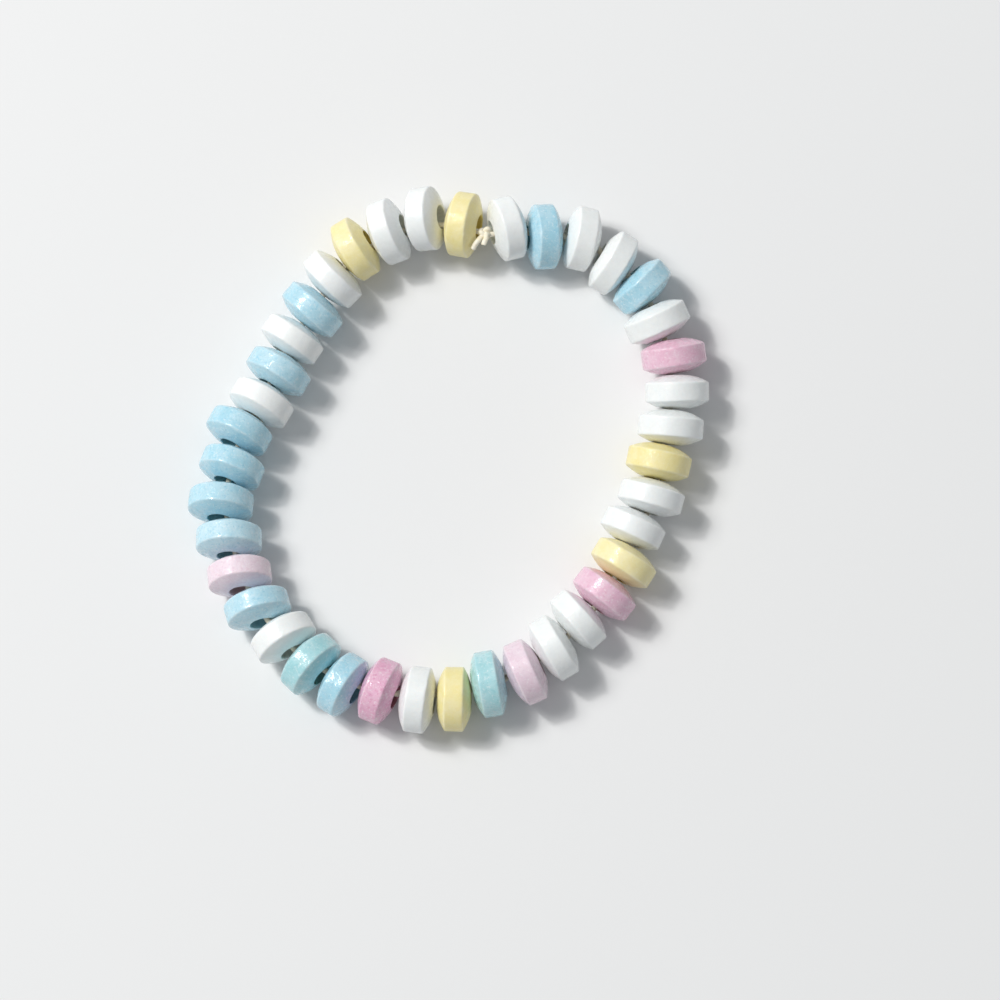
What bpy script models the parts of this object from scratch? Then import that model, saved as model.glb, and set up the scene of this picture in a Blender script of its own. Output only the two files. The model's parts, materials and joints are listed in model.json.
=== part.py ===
"""Candy necklace: thirty-nine pressed sugar beads on one elastic string.

The necklace lies on a flat surface as a closed ring. Each bead stands on its rim, leans a little on
its neighbours and keeps a small gap to them. At the knot one bead has popped up over the next.
Modelled in metres; X and Y lie in the surface, Z is up, and the surface is z = 0.
"""

import math

import bmesh
import bpy
from mathutils import Vector

MM = 0.001

# One bead, in millimetres: a short cylinder band, a sloping shoulder and a flatter crown
# that runs in to the hole.
BEAD_DIAMETER = 11.0
BEAD_THICKNESS = 5.6
BAND_WIDTH = 3.0
SHOULDER_DIAMETER = 7.6
SHOULDER_WIDTH = 4.7
HOLE_DIAMETER = 3.9
SEGMENTS = 24
# Pressed beads are not quite alike: the share by which width and thickness vary.
SIZE_VARIATION = (1.0, 0.985, 1.012, 0.99, 1.006, 0.98, 1.01)
# No bead is longer than this from corner to corner, whichever way it is measured.
BEAD_REACH = 1.2 * BEAD_DIAMETER
BEAD_SHARP_ANGLE = 30

# The string and its knot, in millimetres.
STRING_DIAMETER = 0.95
STRING_SIDES = 8
KNOT_DIAMETER = 2.2
TAIL_LENGTHS = (3.4, 2.2)
TAIL_WAYS = ((-0.62, -0.78, 0.1), (-0.1, -0.95, 0.35))
TAIL_BOW = (0.15, 0.0, 0.1)
# How far the knot hangs out where the two beads at it open like a V.
KNOT_BOW = 1.6
STRING_SHARP_ANGLE = 50

# The gaps from bead to bead, taken in turn, and the wider one that holds the knot, in millimetres.
GAPS = (0.3, 0.34, 0.3, 0.42, 0.31, 0.3, 0.38)
KNOT_GAP = 0.9
# The ring that the beads just fill is the course below, enlarged by a share between these two.
RING_SIZES = (0.95, 1.25)
# Where the first bead stands, and how far on the next one is sought, in points of the course.
START = 0.5
NEXT_BEAD_WITHIN = 2.0
# How finely the search settles a bead's place (in points of the course), the ring's size (a share)
# and the direction of a gap (radians, from the first turn to the last).
PLACE_STEP = 0.0004
SIZE_STEP = 0.0002
FIRST_TURN = 0.35
LAST_TURN = 0.002
# How far to either side of a place the course's direction is read.
COURSE_REACH = 0.01

# White, blue, aqua, pink, rose, pale pink and yellow.
COLOURS = {
    "W": (0.86, 0.89, 0.88),
    "B": (0.40, 0.68, 0.80),
    "A": (0.41, 0.70, 0.74),
    "P": (0.80, 0.51, 0.64),
    "R": (0.77, 0.42, 0.58),
    "L": (0.80, 0.64, 0.73),
    "Y": (0.89, 0.80, 0.37),
}
CANDY_ROUGHNESS = 0.55
STRING_COLOUR = (0.86, 0.78, 0.60)
STRING_ROUGHNESS = 0.5

# The course of the ring: points of a smooth closed curve, clockwise from the knot (x and y
# in millimetres).
RING = (
    (5.2, 34.3),
    (12.6, 33.6),
    (19.0, 32.3),
    (24.8, 29.5),
    (29.8, 24.2),
    (33.2, 17.5),
    (34.8, 9.5),
    (33.8, 1.5),
    (31.3, -6.2),
    (28.2, -14.0),
    (24.3, -21.8),
    (18.8, -28.8),
    (12.4, -34.2),
    (5.2, -37.8),
    (-2.8, -39.2),
    (-11.0, -38.4),
    (-18.6, -35.4),
    (-25.0, -30.5),
    (-29.8, -23.8),
    (-33.2, -16.2),
    (-34.4, -8.0),
    (-32.6, 0.2),
    (-28.6, 8.0),
    (-24.4, 15.3),
    (-20.3, 22.6),
    (-15.6, 29.2),
    (-9.3, 33.9),
    (-2.2, 35.3),
)

# Clockwise from the knot. Each row: colour, turn of the hole off the ring's course (degrees), lean
# (degrees, positive where the end towards the next bead is up), step out of the ring's course
# (mm) and lift off the surface (mm).
BEADS = (
    ("W", 21, -9, -0.2, 1.4),
    ("B", 14, -10, -0.6, 0.0),
    ("W", 10, -11, 0.7, 0.0),
    ("W", 10, -12, -0.4, 0.0),
    ("B", 8, -13, 0.4, 0.0),
    ("W", 2, -14, -0.5, 0.0),
    ("P", -3, -13, 0.4, 0.0),
    ("W", 3, -11, 0.3, 0.0),
    ("W", 7, -9, 0.0, 0.0),
    ("Y", 7, -7, -0.4, 0.0),
    ("W", 5, -6, 0.4, 0.0),
    ("W", -1, -5, -0.5, 0.0),
    ("Y", -6, -4, 0.5, 0.0),
    ("P", -3, -4, 0.3, 0.0),
    ("W", -7, -4, -0.5, 0.0),
    ("W", -10, -5, 0.0, 0.0),
    ("L", -8, -6, 0.5, 0.0),
    ("A", -11, -2, -0.5, 0.0),
    ("Y", -10, -1, 0.5, 0.0),
    ("W", -7, -3, 0.2, 0.0),
    ("R", -10, -7, -0.5, 0.0),
    ("B", -9, -9, 0.4, 0.0),
    ("A", -9, -10, 0.0, 0.0),
    ("W", -12, -10, -0.4, 0.0),
    ("B", -15, -12, 0.2, 0.0),
    ("L", -17, -13, 0.3, 0.0),
    ("B", -13, -12, 0.0, 0.0),
    ("B", -6, -13, 0.5, 0.0),
    ("B", -6, -12, -0.5, 0.0),
    ("B", -2, -8, 0.4, 0.0),
    ("W", 0, -5, -0.5, 0.0),
    ("B", 0, -1, -0.3, 0.0),
    ("W", -5, 3, 0.5, 0.0),
    ("B", -11, 8, 0.0, 0.0),
    ("W", -12, 12, 0.0, 0.0),
    ("Y", -13, 15, 0.5, 0.0),
    ("W", -9, 18, -0.3, 0.2),
    ("W", -3, 20, 0.3, 0.6),
    ("Y", -1, 11, -0.2, 0.3),
)


class Bead:
    """One bead: its size, the direction of its hole and its place."""

    def __init__(self, number, row):
        self.name = f"bead_{number:02d}"
        self.colour = row[0]
        wide = SIZE_VARIATION[number % len(SIZE_VARIATION)]
        thick = SIZE_VARIATION[number * 3 % len(SIZE_VARIATION)]
        # Half width and radius of each edge ring, from the hole to the band.
        self.rings = (
            (BEAD_THICKNESS / 2 * thick, HOLE_DIAMETER / 2),
            (SHOULDER_WIDTH / 2 * thick, SHOULDER_DIAMETER / 2 * wide),
            (BAND_WIDTH / 2 * thick, BEAD_DIAMETER / 2 * wide),
        )
        self.turn, self.lean, self.aside, self.lift = row[1:]

    def put(self, point, course):
        """Stands the bead on the surface at a point of the ring whose course there is given."""
        out = Vector((-course.y, course.x))
        heading = math.atan2(course.y, course.x) + math.radians(self.turn)
        lean = math.radians(self.lean)
        self.axis = Vector(
            (
                math.cos(lean) * math.cos(heading),
                math.cos(lean) * math.sin(heading),
                math.sin(lean),
            )
        )
        lowest = self.reach(Vector((0, 0, -1)))
        self.centre = Vector((*(point + self.aside * out), lowest + self.lift))

    def reach(self, direction):
        """How far the bead extends from its centre in a unit direction."""
        along = abs(direction.dot(self.axis))
        across = math.sqrt(max(0.0, 1 - along * along))
        return max(half * along + radius * across for half, radius in self.rings)

    def mouth(self, side):
        """The centre of the hole at one end: side 1 is towards the next bead, -1 the one before."""
        return self.centre + side * self.rings[0][0] * self.axis


def gap_between(first, second):
    """The gap between two beads and the unit direction that it is measured in.

    The gap is the widest slab that parts the two; a negative one is an overlap.
    """
    between = second.centre - first.centre
    if between.length > 2 * BEAD_REACH:
        return between.length - BEAD_REACH, between.normalized()

    def slab(direction):
        return between.dot(direction) - first.reach(direction) - second.reach(-direction)

    best = between.normalized()
    widest = slab(best)
    turn = FIRST_TURN
    while turn > LAST_TURN:
        side = best.orthogonal().normalized()
        other = best.cross(side)
        turned = [(best + turn * way).normalized() for way in (side, -side, other, -other)]
        found = max(turned, key=slab)
        if slab(found) > widest:
            best = found
            widest = slab(found)
        else:
            turn /= 2
    return widest, best


def ring_point(place, size):
    """A point of the ring: whole places are its listed points, joined by a smooth curve."""
    index = math.floor(place)
    part = place - index
    points = [Vector(RING[(index + step) % len(RING)]) for step in (-1, 0, 1, 2)]
    before, start, end, after = points
    bend = 2 * before - 5 * start + 4 * end - after
    twist = 3 * start - before - 3 * end + after
    point = start + 0.5 * part * (end - before + part * (bend + part * twist))
    return point * size


def put_at(bead, place, size):
    course = ring_point(place + COURSE_REACH, size) - ring_point(place - COURSE_REACH, size)
    bead.put(ring_point(place, size), course.normalized())


def thread(beads, size):
    """Sets the beads one after another on a ring of this size; returns where the last gap ends."""
    place = START
    put_at(beads[0], place, size)
    for index in range(1, len(beads) + 1):
        bead = beads[index % len(beads)]
        wanted = KNOT_GAP if index == len(beads) else GAPS[index % len(GAPS)]
        near = place
        far = place + NEXT_BEAD_WITHIN
        while far - near > PLACE_STEP:
            place = (near + far) / 2
            put_at(bead, place, size)
            clear = gap_between(beads[index - 1], bead)[0] >= wanted
            if index > 1:
                clear = clear and gap_between(beads[index - 2], bead)[0] >= wanted
            if clear:
                far = place
            else:
                near = place
        place = far
        put_at(bead, place, size)
    return place


def close_ring(beads):
    """Finds the size of ring that the beads fill, and leaves them set on it."""
    small, large = RING_SIZES
    while large - small > SIZE_STEP:
        size = (small + large) / 2
        if thread(beads, size) > START + len(RING):
            small = size
        else:
            large = size
    thread(beads, large)
    put_at(beads[0], START, large)


def add_mesh(name, bm, material):
    mesh = bpy.data.meshes.new(name)
    bm.to_mesh(mesh)
    bm.free()
    mesh.materials.append(material)
    obj = bpy.data.objects.new(name, mesh)
    bpy.context.scene.collection.objects.link(obj)
    return obj


def add_material(name, colour, roughness):
    material = bpy.data.materials.new(name)
    material.use_nodes = True
    shader = material.node_tree.nodes["Principled BSDF"]
    shader.inputs["Base Color"].default_value = (*colour, 1.0)
    shader.inputs["Roughness"].default_value = roughness
    shader.inputs["Metallic"].default_value = 0.0
    return material


def add_bead(bead, material):
    """The bead as rings of points joined by faces, turned about local Z and aimed along its axis."""
    outline = [(-half, radius) for half, radius in bead.rings]
    outline += [(half, radius) for half, radius in reversed(bead.rings)]
    bm = bmesh.new()
    rings = []
    for height, radius in outline:
        ring = []
        for step in range(SEGMENTS):
            angle = 2 * math.pi * step / SEGMENTS
            x = radius * math.cos(angle) * MM
            y = radius * math.sin(angle) * MM
            ring.append(bm.verts.new((x, y, height * MM)))
        rings.append(ring)
    for low, high in zip(rings, rings[1:] + rings[:1]):
        for step in range(SEGMENTS):
            after = (step + 1) % SEGMENTS
            bm.faces.new((low[step], low[after], high[after], high[step]))
    bmesh.ops.recalc_face_normals(bm, faces=bm.faces)
    obj = add_mesh(bead.name, bm, material)
    obj.data.shade_smooth()
    obj.data.set_sharp_from_angle(angle=math.radians(BEAD_SHARP_ANGLE))
    obj.rotation_mode = "QUATERNION"
    obj.rotation_quaternion = bead.axis.to_track_quat("Z", "Y")
    obj.location = bead.centre * MM
    return obj


def tube(name, points, closed, material):
    """A round string through the points, either a closed loop or a piece with two flat ends."""
    count = len(points)
    bm = bmesh.new()
    rings = []
    for index, point in enumerate(points):
        before = points[index - 1] if closed or index else point
        after = points[(index + 1) % count] if closed or index < count - 1 else point
        tangent = (after - before).normalized()
        side = tangent.cross(Vector((0, 0, 1))).normalized()
        over = side.cross(tangent)
        ring = []
        for step in range(STRING_SIDES):
            angle = 2 * math.pi * step / STRING_SIDES
            way = math.cos(angle) * side + math.sin(angle) * over
            ring.append(bm.verts.new((point + STRING_DIAMETER / 2 * way) * MM))
        rings.append(ring)
    pairs = list(zip(rings, rings[1:]))
    if closed:
        pairs.append((rings[-1], rings[0]))
    else:
        bm.faces.new(rings[0])
        bm.faces.new(rings[-1])
    for low, high in pairs:
        for step in range(STRING_SIDES):
            after = (step + 1) % STRING_SIDES
            bm.faces.new((low[step], low[after], high[after], high[step]))
    bmesh.ops.recalc_face_normals(bm, faces=bm.faces)
    return add_mesh(name, bm, material)


def join(obj, other):
    """Makes one solid of two that overlap, and removes the second."""
    union = obj.modifiers.new("join", "BOOLEAN")
    union.operation = "UNION"
    union.solver = "EXACT"
    union.object = other
    graph = bpy.context.evaluated_depsgraph_get()
    joined = bpy.data.meshes.new_from_object(obj.evaluated_get(graph))
    obj.modifiers.clear()
    obj.data = joined
    bpy.data.objects.remove(other)


def add_string(beads, material):
    """The closed string through every hole, with the knot and its two cut tails."""
    path = []
    for index, bead in enumerate(beads):
        following = beads[(index + 1) % len(beads)]
        path.append(bead.centre.copy())
        middle = (bead.mouth(1) + following.mouth(-1)) / 2
        if following is beads[0]:
            knot_place = middle + KNOT_BOW * (bead.axis - following.axis)
            path += [bead.mouth(1), knot_place, following.mouth(-1)]
        else:
            path.append(middle)
    string = tube("elastic_string", path, True, material)

    bm = bmesh.new()
    bmesh.ops.create_icosphere(bm, subdivisions=2, radius=KNOT_DIAMETER / 2 * MM)
    bmesh.ops.translate(bm, verts=bm.verts, vec=knot_place * MM)
    join(string, add_mesh("knot", bm, material))

    for length, way in zip(TAIL_LENGTHS, TAIL_WAYS):
        end = knot_place + length * Vector(way).normalized()
        bend = (knot_place + end) / 2 + Vector(TAIL_BOW)
        join(string, tube("tail", [knot_place, bend, end], False, material))
    string.data.shade_smooth()
    string.data.set_sharp_from_angle(angle=math.radians(STRING_SHARP_ANGLE))
    return string


def centre_on_origin(objects):
    """Moves everything so that its box stands on z = 0 and is centred over the origin."""
    bpy.context.view_layer.update()
    corners = [obj.matrix_world @ vertex.co for obj in objects for vertex in obj.data.vertices]
    low = [min(point[axis] for point in corners) for axis in range(3)]
    high = [max(point[axis] for point in corners) for axis in range(3)]
    shift = Vector(((low[0] + high[0]) / 2, (low[1] + high[1]) / 2, low[2]))
    for obj in objects:
        obj.location -= shift


def main():
    for obj in list(bpy.data.objects):
        bpy.data.objects.remove(obj)
    beads = [Bead(number, row) for number, row in enumerate(BEADS, 1)]
    close_ring(beads)
    candy = {
        letter: add_material(f"candy_{letter}", colour, CANDY_ROUGHNESS)
        for letter, colour in COLOURS.items()
    }
    made = [add_bead(bead, candy[bead.colour]) for bead in beads]
    made.append(add_string(beads, add_material("string", STRING_COLOUR, STRING_ROUGHNESS)))
    centre_on_origin(made)


main()
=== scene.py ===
import json
import math

import bpy
import numpy as np
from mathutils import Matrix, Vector, noise


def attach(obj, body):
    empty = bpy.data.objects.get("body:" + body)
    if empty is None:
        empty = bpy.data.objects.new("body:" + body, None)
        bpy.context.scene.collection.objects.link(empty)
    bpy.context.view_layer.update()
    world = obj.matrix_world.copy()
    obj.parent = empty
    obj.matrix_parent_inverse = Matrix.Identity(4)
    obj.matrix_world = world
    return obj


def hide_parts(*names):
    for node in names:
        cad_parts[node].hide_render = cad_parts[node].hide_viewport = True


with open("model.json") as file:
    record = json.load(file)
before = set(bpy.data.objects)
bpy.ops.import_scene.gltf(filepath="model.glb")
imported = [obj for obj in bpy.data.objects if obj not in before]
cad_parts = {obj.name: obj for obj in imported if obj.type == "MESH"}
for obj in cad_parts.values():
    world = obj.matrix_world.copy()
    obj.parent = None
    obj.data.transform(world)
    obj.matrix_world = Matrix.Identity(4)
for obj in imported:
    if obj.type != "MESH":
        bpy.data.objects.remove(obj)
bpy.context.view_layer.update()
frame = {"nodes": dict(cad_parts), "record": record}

MM = 0.001
UP = (0.0, 0.0, 1.0)
# Stands in for a length of zero where something is divided by it.
NO_LENGTH = 1e-12
BEAD_COUNT = 39
# Decimals of a metre at which a solid's corners are told apart.
CORNER_DECIMALS = 7

# The outline of a bead, as shares of its half thickness and of its radius.
BAND_EDGE = (0.536, 1.0)
SHOULDER = (0.839, 0.691)
HOLE_RADIUS = 1.95 * MM
# How much thicker than its solid a bead is: it makes up for the rounded rims and narrows the gaps.
THICKER = 1.054
# How far each corner of the outline is rounded, and the most of a side that this takes.
BAND_ROUNDING = 0.25 * MM
SHOULDER_ROUNDING = 1.5 * MM
HOLE_ROUNDING = 0.32 * MM
ROUNDED_SHARE = 0.45
# Points on a rounded corner, the distance between points along the outline, the points that each
# radian of bend adds to the step on either side of it, and the points around a bead.
CORNER_POINTS = 7
OUTLINE_STEP = 0.27 * MM
BEND_POINTS = 1.6
AROUND = 124

# The uneven surface of a bead. Noise scales are per millimetre, heights and depths in millimetres.
BROAD_SWELL_SCALE = 0.35
BROAD_SWELL_HEIGHT = 0.035
FINE_SWELL_SCALE = 1.3
FINE_SWELL_HEIGHT = 0.014
# Chips along the edges of the band, and the value of the noise above which they start.
CHIP_SCALE = 1.15
CHIP_DEPTH = 0.16
CHIP_START = 0.32
# A pale line along the same edges, partly real wear and partly a painted highlight: its usual strength,
# how much that varies and how narrow it is.
WEAR_AND_HIGHLIGHT_SCALE = 0.8
WEAR_AND_HIGHLIGHT = 0.55
WEAR_AND_HIGHLIGHT_VARIES = 0.9
WEAR_AND_HIGHLIGHT_NARROWS = 5
# How far from an edge chips reach, and the share of the radius beyond which they occur.
EDGE_REACH = 0.5 * MM
EDGE_ZONE = 0.85
# How far out from the hole the painted shade inside it fades away.
HOLE_SHADE_FADE = 0.3 * MM
# How far on in the noise each next bead is, and where there its tone is read.
SEED_STEP = (7.3, 3.1, 0.0)
TONE_PLACE = (0.5, 0.5, 0.5)

# The string: its sides, and its rings from one point of its path to the next.
STRING_RADIUS = 0.46 * MM
STRING_SIDES = 14
STRING_STEPS = 6
# How far it can move sideways in a hole, and the rounds that pull it tight.
STRING_CLEARANCE = 0.12 * MM
STRING_PLAY = HOLE_RADIUS - STRING_RADIUS - STRING_CLEARANCE
STRING_ROUNDS = 400
# The last ring of a cut end, as a share of the string's radius.
TIP_SHARE = 0.55
# Below this sine of its angle to the vertical, a strand counts as upright.
UPRIGHT = 0.1

# The knot: how far the string bows out to it, its size, how deep its loops are for that size,
# and its two cut tails as points from its middle (millimetres).
KNOT_BOW = 1.6 * MM
KNOT_SIZE = 0.30 * MM
KNOT_DEPTH = 1.6
KNOT_POINTS = 60
TAILS = (
    ((0, 0, 0), (-0.9, -1.0, 0.5), (-1.7, -2.0, 0.5), (-2.2, -2.9, 0.2)),
    ((0.2, 0, 0.3), (0.1, -1.1, 1.0), (-0.2, -1.9, 1.1), (-0.3, -2.3, 1.0)),
)
TAIL_STEPS = 6

# The point at the picture's centre, the camera's height above the horizon (degrees) and its
# distance, and how wide a strip the picture shows there.
CAMERA_AIM = (0.0086, -0.0072, 0.005)
CAMERA_ELEVATION = 80
CAMERA_DISTANCE = 0.60
FRAME_WIDTH = 0.1692
SENSOR_WIDTH = 36.0
NEAR_LIMIT = 0.01

# Each lamp: its direction from the ring, the side of its square and its power (watts).
LAMPS = {
    "key": ((-0.53, 0.25, 0.81), 0.60, 19.0),
    "sparkle": ((-0.50, 0.30, 0.81), 0.14, 8.0),
}
LAMP_DISTANCE = 1.8
LAMP_COLOUR = (1.0, 0.995, 0.98)
SKY_COLOUR = (0.93, 0.965, 1.0)
SKY_STRENGTH = 0.35

FLOOR_SIZE = 6.0
FLOOR_DROP = 0.02 * MM
FLOOR_TONES = ((0.832, 0.832, 0.832), (0.842, 0.842, 0.842))

# Base colours of the sweets (linear), how strongly the sugar grains show in each, and its gloss.
COLOURS = {
    "white_candy": ((0.865, 0.888, 0.880), 0.35, 0.45),
    "blue_candy": ((0.400, 0.675, 0.790), 1.0, 0.95),
    "aqua_candy": ((0.410, 0.695, 0.735), 0.95, 0.95),
    "pink_candy": ((0.795, 0.500, 0.625), 0.85, 0.8),
    "rose_candy": ((0.765, 0.410, 0.570), 1.15, 0.95),
    "pale_pink_candy": ((0.800, 0.635, 0.720), 0.85, 0.7),
    "yellow_candy": ((0.892, 0.784, 0.362), 0.4, 0.33),
}
# The pale sugar that a colour is mixed with for its paler tone, and the powers of the colour that make
# its deeper tone and, for red, green and blue, the painted shade inside its hole.
PALE_SUGAR = 0.96
DEEPER_POWER = 1.45
HOLE_SHADE_POWERS = (2.0, 2.1, 2.8)
# Single beads that are paler (above 0) or deeper (below 0) than their colour's usual tone, and how much
# the tone of the others varies. The paler tones of beads 25 and 26 are painted light that makes up for
# light they miss, and the deeper tone of bead 23 is painted shade.
TONES_AND_PAINTED_LIGHT = {
    2: -0.3,
    5: 0.1,
    7: -0.2,
    13: 0.6,
    21: -0.2,
    23: -0.4,
    25: 0.5,
    26: 0.6,
    27: 0.8,
    28: 0.2,
    30: 0.0,
    32: 0.5,
    34: 0.4,
    36: 0.3,
}
TONE_VARIES = 0.3
# How uneven the polish of a bead is, and the beads that differ: the less even ones glint more.
RIPPLE = 0.5
RIPPLES = {5: 0.8, 7: 0.8, 21: 1.1, 22: 1.1, 28: 0.8, 29: 0.8, 32: 0.8, 36: 0.3}

# Noise patterns of the materials: scale (per metre), detail and roughness.
BLOTCHES = (420.0, 3.0, 0.5)
LIGHT_GRAINS = (2400.0, 3.0, 0.7)
DARK_GRAINS = (1900.0, 2.0, 0.6)
POLISHED_SPOTS = (1100.0, 2.0, 0.5)
SOFT_BUMPS = (900.0, 2.0, 0.5)
FINE_BUMPS = (2600.0, 2.0, 0.6)
COAT_RIPPLES = (1000.0, 2.0, 0.5)
COAT_GRIT = (1500.0, 2.0, 0.5)
STRING_MOTTLE = (1500.0, 3.0, 0.5)
STRING_BUMPS = (3500.0, 2.0, 0.5)
FLOOR_CLOUDS = (3.0, 2.0, 0.5)
# Heights of the bumps.
SOFT_BUMP_HEIGHT = 0.10 * MM
FINE_BUMP_HEIGHT = 0.07 * MM
COAT_RIPPLE_HEIGHT = 0.17 * MM
COAT_GRIT_HEIGHT = 0.03 * MM
STRING_BUMP_HEIGHT = 0.05 * MM
# How much the pale edges, partly wear and partly painted highlight, add to the polish.
WEAR_AND_HIGHLIGHT_POLISH = 0.12

STRING_TONES = ((0.86, 0.78, 0.60), (0.93, 0.88, 0.76))

# The colour sockets of Blender's Mix node, which go by their places.
MIX_COLOURS = (6, 7)
MIX_RESULT = 2


def quad_mesh(name, points, faces):
    """A smooth-shaded mesh object of points and four-sided faces."""
    mesh = bpy.data.meshes.new(name)
    mesh.vertices.add(len(points))
    mesh.vertices.foreach_set("co", np.asarray(points, np.float32).ravel())
    mesh.loops.add(len(faces) * 4)
    mesh.loops.foreach_set("vertex_index", np.asarray(faces, np.int32).ravel())
    mesh.polygons.add(len(faces))
    mesh.polygons.foreach_set("loop_start", np.arange(0, len(faces) * 4, 4, dtype=np.int32))
    mesh.update(calc_edges=True)
    mesh.validate()
    mesh.shade_smooth()
    obj = bpy.data.objects.new(name, mesh)
    bpy.context.scene.collection.objects.link(obj)
    return obj


def grid_faces(rows, columns):
    """Faces between rows of points, each row a ring and the last row joined to the first."""
    index = np.arange(rows * columns).reshape(rows, columns)
    after = np.roll(index, -1, axis=0)
    return np.stack(
        [index, after, np.roll(after, -1, axis=1), np.roll(index, -1, axis=1)], axis=-1
    )


def store(obj, name, values):
    """Keeps one number for each point of a mesh, for its material to read."""
    obj.data.attributes.new(name, "FLOAT", "POINT").data.foreach_set("value", values.ravel())


def rounded(corners):
    """Points along a closed outline whose corners (x, y, radius) are rounded."""
    path = []
    count = len(corners)
    for index, (x, y, radius) in enumerate(corners):
        here = np.array((x, y))
        before = np.array(corners[index - 1][:2]) - here
        after = np.array(corners[(index + 1) % count][:2]) - here
        before_length = np.linalg.norm(before)
        after_length = np.linalg.norm(after)
        reach = min(radius, ROUNDED_SHARE * before_length, ROUNDED_SHARE * after_length)
        start = here + before / before_length * reach
        end = here + after / after_length * reach
        for part in np.linspace(0, 1, CORNER_POINTS):
            path.append((1 - part) ** 2 * start + 2 * part * (1 - part) * here + part**2 * end)
    path.append(path[0])
    path = np.array(path)
    steps = np.linalg.norm(np.diff(path, axis=0), axis=1)
    along = np.concatenate([[0], np.cumsum(steps)])
    # Closer points where the outline bends, so that the corners stay crisp.
    turn = np.zeros(len(path))
    way = np.diff(path, axis=0) / np.maximum(steps[:, None], NO_LENGTH)
    turn[1:-1] = np.arccos(np.clip((way[1:] * way[:-1]).sum(1), -1, 1))
    weight = steps / OUTLINE_STEP + (turn[1:] + turn[:-1]) * BEND_POINTS
    measure = np.concatenate([[0], np.cumsum(weight)])
    wanted = np.linspace(0, measure[-1], int(round(measure[-1])) + 1)[:-1]
    at = np.interp(wanted, measure, along)
    return np.stack([np.interp(at, along, path[:, axis]) for axis in (0, 1)], axis=1)


def pose_of(node):
    """Centre, axis, half thickness and radius of the bead that a CAD node holds."""
    obj = frame["nodes"][node]
    count = len(obj.data.vertices)
    points = np.empty(count * 3, np.float32)
    obj.data.vertices.foreach_get("co", points)
    points = points.reshape(-1, 3).astype(float)
    matrix = np.array(obj.matrix_world)
    points = points @ matrix[:3, :3].T + matrix[:3, 3]
    points = np.unique(np.round(points, CORNER_DECIMALS), axis=0)
    centre = points.mean(0)
    spread = points - centre
    _, ways = np.linalg.eigh(spread.T @ spread)
    axis = ways[:, 0]
    along = spread @ axis
    across = np.linalg.norm(spread - along[:, None] * axis, axis=1)
    return centre, axis, np.abs(along).max(), across.max()


def bead_poses():
    """The pose of every bead, each axis pointing to the next bead round the ring."""
    poses = [pose_of(f"bead_{number:02d}") for number in range(1, BEAD_COUNT + 1)]
    turned = []
    for index, (centre, axis, half, radius) in enumerate(poses):
        onward = poses[(index + 1) % BEAD_COUNT][0] - poses[index - 1][0]
        turned.append((centre, axis if axis @ onward > 0 else -axis, half, radius))
    return turned


def bead_outline(half, radius):
    """The closed outline of a bead, as places along its axis and distances from it."""
    shoulder = (SHOULDER[0] * half, SHOULDER[1] * radius)
    edge = (BAND_EDGE[0] * half, BAND_EDGE[1] * radius)
    return rounded(
        [
            (-half, HOLE_RADIUS, HOLE_ROUNDING),
            (-shoulder[0], shoulder[1], SHOULDER_ROUNDING),
            (-edge[0], edge[1], BAND_ROUNDING),
            (edge[0], edge[1], BAND_ROUNDING),
            (shoulder[0], shoulder[1], SHOULDER_ROUNDING),
            (half, HOLE_RADIUS, HOLE_ROUNDING),
        ]
    )


def unevenness(local, near_edge, seed):
    """How far a bead's surface stands out at a place (in millimetres), and how pale its edge is there,
    with wear and a painted highlight.
    """
    swell = BROAD_SWELL_HEIGHT * noise.noise(local * BROAD_SWELL_SCALE + seed)
    swell += FINE_SWELL_HEIGHT * noise.noise(local * FINE_SWELL_SCALE + seed)
    if not near_edge:
        return swell, 0.0
    chip = noise.noise(local * CHIP_SCALE + seed * 2)
    swell -= CHIP_DEPTH * near_edge * max(0.0, chip - CHIP_START)
    # The pale edge line, partly wear and partly a painted highlight.
    wear_and_highlight = WEAR_AND_HIGHLIGHT + WEAR_AND_HIGHLIGHT_VARIES * noise.noise(local * WEAR_AND_HIGHLIGHT_SCALE - seed)
    return swell, near_edge**WEAR_AND_HIGHLIGHT_NARROWS * min(1.0, max(0.0, wear_and_highlight))


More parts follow.
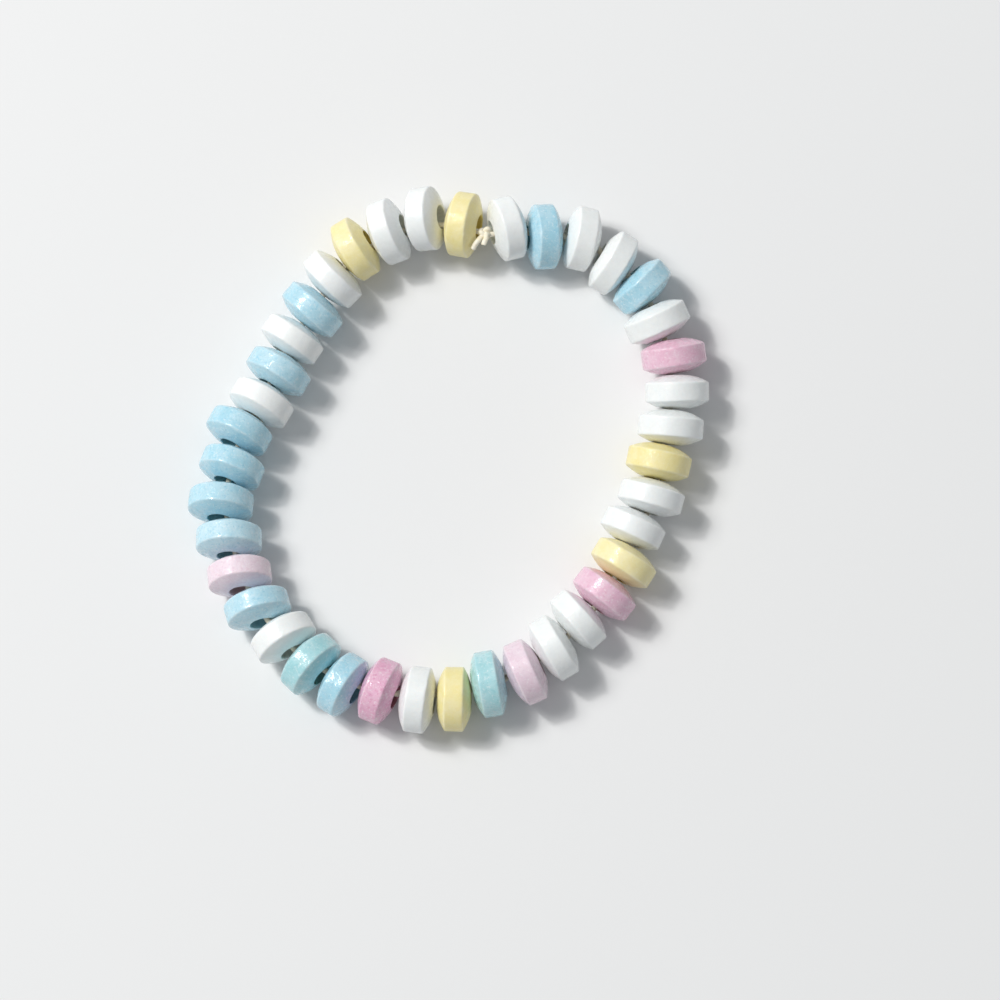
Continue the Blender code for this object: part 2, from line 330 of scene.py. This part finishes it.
def make_bead(number, pose):
    """One pressed bead, slightly uneven, with a few nibbled spots along its edges."""
    centre, axis, half, radius = pose
    half = half * THICKER
    outline = bead_outline(half, radius)
    rows = len(outline)
    side = np.cross(axis, UP)
    side /= np.linalg.norm(side)
    over = np.cross(side, axis)
    # Each bead's points start at an angle of their own.
    angles = np.linspace(0, 2 * math.pi, AROUND, endpoint=False) + number
    rim = np.cos(angles)[:, None] * side + np.sin(angles)[:, None] * over
    onward = np.roll(outline, -1, axis=0) - np.roll(outline, 1, axis=0)
    onward /= np.linalg.norm(onward, axis=1)[:, None]
    points = np.empty((rows, AROUND, 3))
    wear_and_edge_highlight = np.zeros((rows, AROUND))
    seed = Vector([number * step for step in SEED_STEP])
    for row, (z, r) in enumerate(outline):
        near_edge = 0.0
        if r > EDGE_ZONE * radius:
            near_edge = math.exp(-(((abs(z) - BAND_EDGE[0] * half) / EDGE_REACH) ** 2))
        for step, angle in enumerate(angles):
            local = Vector((z, r * math.cos(angle), r * math.sin(angle))) / MM
            swell, wear_and_edge_highlight[row, step] = unevenness(local, near_edge, seed)
            push = swell * MM
            out_z = z - onward[row, 1] * push
            out_r = r + onward[row, 0] * push
            points[row, step] = centre + out_z * axis + out_r * rim[step]
    faces = grid_faces(rows, AROUND).reshape(-1, 4)
    bead = quad_mesh(f"sweet_{number:02d}", points.reshape(-1, 3), faces)
    # Painted shade in the hole, fading out just beyond its rim.
    hole_shade = np.clip((HOLE_RADIUS - outline[:, 1]) / HOLE_SHADE_FADE + 1, 0, 1)
    # A bead's tone: on beads 25 and 26 it is painted light, on bead 23 painted shade.
    tone_and_painted_light = TONES_AND_PAINTED_LIGHT.get(number, TONE_VARIES * noise.noise(seed + Vector(TONE_PLACE)))
    # The pale edge line is partly wear and partly a painted highlight.
    store(bead, "wear_and_edge_highlight", wear_and_edge_highlight)
    store(bead, "tone_and_painted_light", np.full((rows, AROUND), tone_and_painted_light))
    store(bead, "hole_shade", np.repeat(hole_shade, AROUND))
    store(bead, "ripple", np.full((rows, AROUND), RIPPLES.get(number, RIPPLE)))
    return bead


def set_sockets(node, values):
    """Gives sockets of a node, by name, their constant values."""
    for socket, value in values.items():
        node.inputs[socket].default_value = value


def node_tree(name):
    """A new material, its nodes and its shader."""
    material = bpy.data.materials.new(name)
    material.use_nodes = True
    tree = material.node_tree
    return material, tree, tree.nodes["Principled BSDF"]


def place_node(tree):
    """The place of the surface point, for patterns that keep their real size."""
    return tree.nodes.new("ShaderNodeNewGeometry").outputs["Position"]


def attribute_node(tree, name):
    """The number that store() kept under a name."""
    node = tree.nodes.new("ShaderNodeAttribute")
    node.attribute_name = name
    return node.outputs["Fac"]


def noise_node(tree, place, pattern):
    """A noise pattern of a given scale, detail and roughness."""
    scale, detail, roughness = pattern
    node = tree.nodes.new("ShaderNodeTexNoise")
    set_sockets(node, {"Scale": scale, "Detail": detail, "Roughness": roughness})
    tree.links.new(place, node.inputs["Vector"])
    return node.outputs["Fac"]


def ramp_node(tree, factor, low, high, value_low, value_high):
    """A smooth step from one value to another as a factor goes from low to high."""
    node = tree.nodes.new("ShaderNodeMapRange")
    node.interpolation_type = "SMOOTHSTEP"
    set_sockets(
        node, {"From Min": low, "From Max": high, "To Min": value_low, "To Max": value_high}
    )
    tree.links.new(factor, node.inputs["Value"])
    return node.outputs["Result"]


def mix_node(tree, factor, first, second):
    """A mix of two colours, each a tuple or another node's output."""
    node = tree.nodes.new("ShaderNodeMix")
    node.data_type = "RGBA"
    tree.links.new(factor, node.inputs["Factor"])
    for value, place in zip((first, second), MIX_COLOURS):
        if isinstance(value, tuple):
            node.inputs[place].default_value = (*value, 1.0)
        else:
            tree.links.new(value, node.inputs[place])
    return node.outputs[MIX_RESULT]


def bump_node(tree, height, strength, distance, normal=None):
    """A bumpy normal. The strength is a number or another node's output."""
    node = tree.nodes.new("ShaderNodeBump")
    if isinstance(strength, float):
        node.inputs["Strength"].default_value = strength
    else:
        tree.links.new(strength, node.inputs["Strength"])
    node.inputs["Distance"].default_value = distance
    tree.links.new(height, node.inputs["Height"])
    if normal:
        tree.links.new(normal, node.inputs["Normal"])
    return node.outputs["Normal"]


def candy_material(name, colour, grains, gloss):
    """Pressed sugar: soft and chalky, speckled with grains, its gloss broken into small glints."""
    material, tree, shader = node_tree(name)
    place = place_node(tree)
    blotch = noise_node(tree, place, BLOTCHES)
    light_grain = noise_node(tree, place, LIGHT_GRAINS)
    dark_grain = noise_node(tree, place, DARK_GRAINS)
    tone_and_painted_light = attribute_node(tree, "tone_and_painted_light")
    wear_and_edge_highlight = attribute_node(tree, "wear_and_edge_highlight")
    hole_shade = attribute_node(tree, "hole_shade")
    paler = tuple(0.5 * value + 0.5 * PALE_SUGAR for value in colour)
    deeper = tuple(value**DEEPER_POWER for value in colour)
    hole_shade_colour = tuple(value**power for value, power in zip(colour, HOLE_SHADE_POWERS))
    # Layers of colour, the last on top: a pattern, the values of it where the layer starts and
    # where it is full, how much it covers there, and its colour.
    layers = (
        # The bead's tone, which on beads 25 and 26 is painted light and on bead 23 painted shade.
        (tone_and_painted_light, 0.0, 1.0, 0.35, paler),
        (tone_and_painted_light, 0.0, -1.0, 0.7, deeper),
        (blotch, 0.38, 0.66, 0.28, paler),
        (dark_grain, 0.52, 0.70, 0.55 * grains, deeper),
        (light_grain, 0.52, 0.68, 0.75 * grains, paler),
        # Pale edges: partly real wear, partly a painted highlight.
        (wear_and_edge_highlight, 0.0, 1.0, 0.45, paler),
        # Painted shade that darkens the hole.
        (hole_shade, 0.0, 1.0, 0.65, hole_shade_colour),
    )
    base = colour
    for pattern, start, full, cover, layer_colour in layers:
        share = ramp_node(tree, pattern, start, full, 0.0, cover)
        base = mix_node(tree, share, base, layer_colour)
    tree.links.new(base, shader.inputs["Base Color"])
    rough = ramp_node(tree, blotch, 0.35, 0.65, 0.38, 0.58)
    tree.links.new(rough, shader.inputs["Roughness"])
    set_sockets(
        shader,
        {
            "IOR": 1.46,
            "Subsurface Weight": 0.2,
            "Subsurface Radius": (1.0, 0.85, 0.75),
            "Subsurface Scale": 0.6 * MM,
            "Coat Roughness": 0.12,
        },
    )
    spots = tree.nodes.new("ShaderNodeMath")
    spots.operation = "MULTIPLY_ADD"
    spots.inputs[1].default_value = WEAR_AND_HIGHLIGHT_POLISH
    tree.links.new(wear_and_edge_highlight, spots.inputs[0])
    tree.links.new(noise_node(tree, place, POLISHED_SPOTS), spots.inputs[2])
    polish = ramp_node(tree, spots.outputs["Value"], 0.40, 0.58, 0.05, gloss)
    tree.links.new(polish, shader.inputs["Coat Weight"])
    soft = bump_node(tree, noise_node(tree, place, SOFT_BUMPS), 0.5, SOFT_BUMP_HEIGHT)
    fine = bump_node(tree, noise_node(tree, place, FINE_BUMPS), 0.5, FINE_BUMP_HEIGHT, soft)
    tree.links.new(fine, shader.inputs["Normal"])
    # The coat has its own, sharper bumps, which break its reflections into glints.
    uneven = attribute_node(tree, "ripple")
    ripple = bump_node(tree, noise_node(tree, place, COAT_RIPPLES), uneven, COAT_RIPPLE_HEIGHT)
    grit = ramp_node(tree, noise_node(tree, place, COAT_GRIT), 0.50, 0.72, 0.0, 1.0)
    facets = bump_node(tree, grit, 0.7, COAT_GRIT_HEIGHT, ripple)
    tree.links.new(facets, shader.inputs["Coat Normal"])
    return material


def string_material():
    """Cream elastic thread, a little mottled and rough."""
    material, tree, shader = node_tree("elastic_thread")
    place = place_node(tree)
    mottle = ramp_node(tree, noise_node(tree, place, STRING_MOTTLE), 0.35, 0.65, 0.0, 1.0)
    base = mix_node(tree, mottle, *STRING_TONES)
    tree.links.new(base, shader.inputs["Base Color"])
    set_sockets(
        shader,
        {
            "Roughness": 0.55,
            "Subsurface Weight": 0.15,
            "Subsurface Radius": (1.0, 0.9, 0.8),
            "Subsurface Scale": 0.4 * MM,
        },
    )
    normal = bump_node(tree, noise_node(tree, place, STRING_BUMPS), 0.4, STRING_BUMP_HEIGHT)
    tree.links.new(normal, shader.inputs["Normal"])
    return material


def smooth_path(points, closed, steps):
    """Points of a smooth curve through the given ones."""
    points = [np.asarray(point, float) for point in points]
    count = len(points)
    last = count if closed else count - 1
    path = []
    for index in range(last):
        before = points[index - 1] if closed or index else points[0]
        start = points[index]
        end = points[(index + 1) % count]
        after = points[(index + 2) % count] if closed or index + 2 < count else points[-1]
        for step in range(steps):
            part = step / steps
            bend = 2 * before - 5 * start + 4 * end - after
            twist = 3 * start - before - 3 * end + after
            path.append(start + 0.5 * part * (end - before + part * (bend + part * twist)))
    if not closed:
        path.append(points[-1])
    return np.array(path)


def tube(path, radius, closed):
    """Points and faces of a round tube along a path; an open one narrows to a closed tip at each end."""
    count = len(path)
    if closed:
        tangents = np.roll(path, -1, axis=0) - np.roll(path, 1, axis=0)
    else:
        tangents = np.gradient(path, axis=0)
    tangents /= np.linalg.norm(tangents, axis=1)[:, None]
    side = np.cross(tangents[0], UP)
    if np.linalg.norm(side) < UPRIGHT:
        side = np.cross(tangents[0], (0.0, 1.0, 0.0))
    angles = np.linspace(0, 2 * math.pi, STRING_SIDES, endpoint=False)
    points = np.empty((count, STRING_SIDES, 3))
    for index in range(count):
        if closed:
            side = np.cross(tangents[index], UP)
        else:
            side = side - tangents[index] * (side @ tangents[index])
        side = side / np.linalg.norm(side)
        over = np.cross(side, tangents[index])
        size = radius if closed or 0 < index < count - 1 else radius * TIP_SHARE
        points[index] = path[index] + size * (
            np.cos(angles)[:, None] * side + np.sin(angles)[:, None] * over
        )
    points = points.reshape(-1, 3)
    faces = grid_faces(count, STRING_SIDES)
    if closed:
        return points, faces.reshape(-1, 4)
    # Each end is closed by strips across its ring.
    low = np.arange(STRING_SIDES // 2 - 1)
    first = np.stack([low, low + 1, STRING_SIDES - 2 - low, STRING_SIDES - 1 - low], axis=-1)
    last = first[:, ::-1] + (count - 1) * STRING_SIDES
    return points, np.concatenate([faces[:-1].reshape(-1, 4), first, last])


def string_points(poses):
    """The path of the string, pulled tight through every hole, and the place of its knot."""
    axes = np.repeat([axis for _, axis, _, _ in poses], 3, axis=0)
    middles = []
    for centre, axis, half, _ in poses:
        mouth = THICKER * half * axis
        middles += [centre - mouth, centre, centre + mouth]
    middles = np.array(middles)
    knot = (middles[-1] + middles[0]) / 2 + KNOT_BOW * (axes[-1] - axes[0])
    path = middles
    for _ in range(STRING_ROUNDS):
        before = np.concatenate([[knot], path[:-1]])
        after = np.concatenate([path[1:], [knot]])
        aside = (before + after) / 2 - middles
        aside -= axes * (aside * axes).sum(1)[:, None]
        reach = np.linalg.norm(aside, axis=1)[:, None]
        path = middles + aside * np.minimum(1.0, STRING_PLAY / np.maximum(reach, NO_LENGTH))
    return [*path, knot], knot


def knot_strands(knot):
    """The loops of the knot, a trefoil, and its two cut tails, as open paths."""
    turns = []
    for part in np.linspace(0, 2 * math.pi, KNOT_POINTS):
        x = math.sin(part) + 2 * math.sin(2 * part)
        y = math.cos(part) - 2 * math.cos(2 * part)
        z = -KNOT_DEPTH * math.sin(3 * part)
        turns.append(knot + KNOT_SIZE * np.array((x, y, z)))
    tails = [[knot + MM * np.array(point) for point in tail] for tail in TAILS]
    return [np.array(turns)] + [smooth_path(tail, False, TAIL_STEPS) for tail in tails]


def make_string(poses):
    """The string through all the beads, with its knot and its tails, as one mesh."""
    path, knot = string_points(poses)
    parts = [tube(smooth_path(path, True, STRING_STEPS), STRING_RADIUS, True)]
    parts += [tube(strand, STRING_RADIUS, False) for strand in knot_strands(knot)]
    points = []
    faces = []
    count = 0
    for part_points, part_faces in parts:
        points.append(part_points)
        faces.append(part_faces + count)
        count += len(part_points)
    return quad_mesh("elastic_thread", np.concatenate(points), np.concatenate(faces))


def add_floor():
    """A plain pale floor just under the ring."""
    bpy.ops.mesh.primitive_plane_add(size=FLOOR_SIZE, location=(0, 0, -FLOOR_DROP))
    floor = bpy.context.object
    floor.name = "floor"
    material, tree, shader = node_tree("floor_white")
    clouds = ramp_node(tree, noise_node(tree, place_node(tree), FLOOR_CLOUDS), 0.3, 0.7, 0.0, 1.0)
    tree.links.new(mix_node(tree, clouds, *FLOOR_TONES), shader.inputs["Base Color"])
    set_sockets(shader, {"Roughness": 0.8, "Specular IOR Level": 0.1})
    floor.data.materials.append(material)


def add_lamps():
    """Square lamps from the upper left: a large soft one, and a small one for the glints."""
    for name, (direction, size, power) in LAMPS.items():
        data = bpy.data.lights.new(name, "AREA")
        data.shape = "SQUARE"
        data.size = size
        data.energy = power
        data.color = LAMP_COLOUR
        lamp = bpy.data.objects.new(name, data)
        bpy.context.scene.collection.objects.link(lamp)
        way = Vector(direction).normalized()
        lamp.location = way * LAMP_DISTANCE
        lamp.rotation_euler = (-way).to_track_quat("-Z", "Y").to_euler()


def add_sky():
    """Even, slightly cool light from all round."""
    world = bpy.data.worlds.new("studio")
    world.use_nodes = True
    background = world.node_tree.nodes["Background"]
    set_sockets(background, {"Color": (*SKY_COLOUR, 1.0), "Strength": SKY_STRENGTH})
    bpy.context.scene.world = world


def add_camera():
    """The camera, which looks down as steeply as the photograph's did."""
    data = bpy.data.cameras.new("camera")
    data.sensor_width = SENSOR_WIDTH
    data.lens = SENSOR_WIDTH * CAMERA_DISTANCE / FRAME_WIDTH
    data.clip_start = NEAR_LIMIT
    camera = bpy.data.objects.new("camera", data)
    bpy.context.scene.collection.objects.link(camera)
    elevation = math.radians(CAMERA_ELEVATION)
    back = Vector((0, -math.cos(elevation), math.sin(elevation)))
    camera.location = Vector(CAMERA_AIM) + CAMERA_DISTANCE * back
    camera.rotation_euler = (math.pi / 2 - elevation, 0, 0)
    bpy.context.scene.camera = camera


add_camera()
add_lamps()
add_sky()
add_floor()

slots = {row["node"]: row["material_slot"] for row in frame["record"]["subparts"]}
materials = {slot: candy_material(slot, *look) for slot, look in COLOURS.items()}
poses = bead_poses()
for number, pose in enumerate(poses, 1):
    node = f"bead_{number:02d}"
    bead = make_bead(number, pose)
    bead.data.materials.append(materials[slots[node]])
    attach(bead, "root")
    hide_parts(node)

string = make_string(poses)
string.data.materials.append(string_material())
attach(string, "root")
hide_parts("elastic_string")

view = bpy.context.scene.view_settings
view.view_transform = "Standard"
view.look = "None"
view.exposure = 0.0
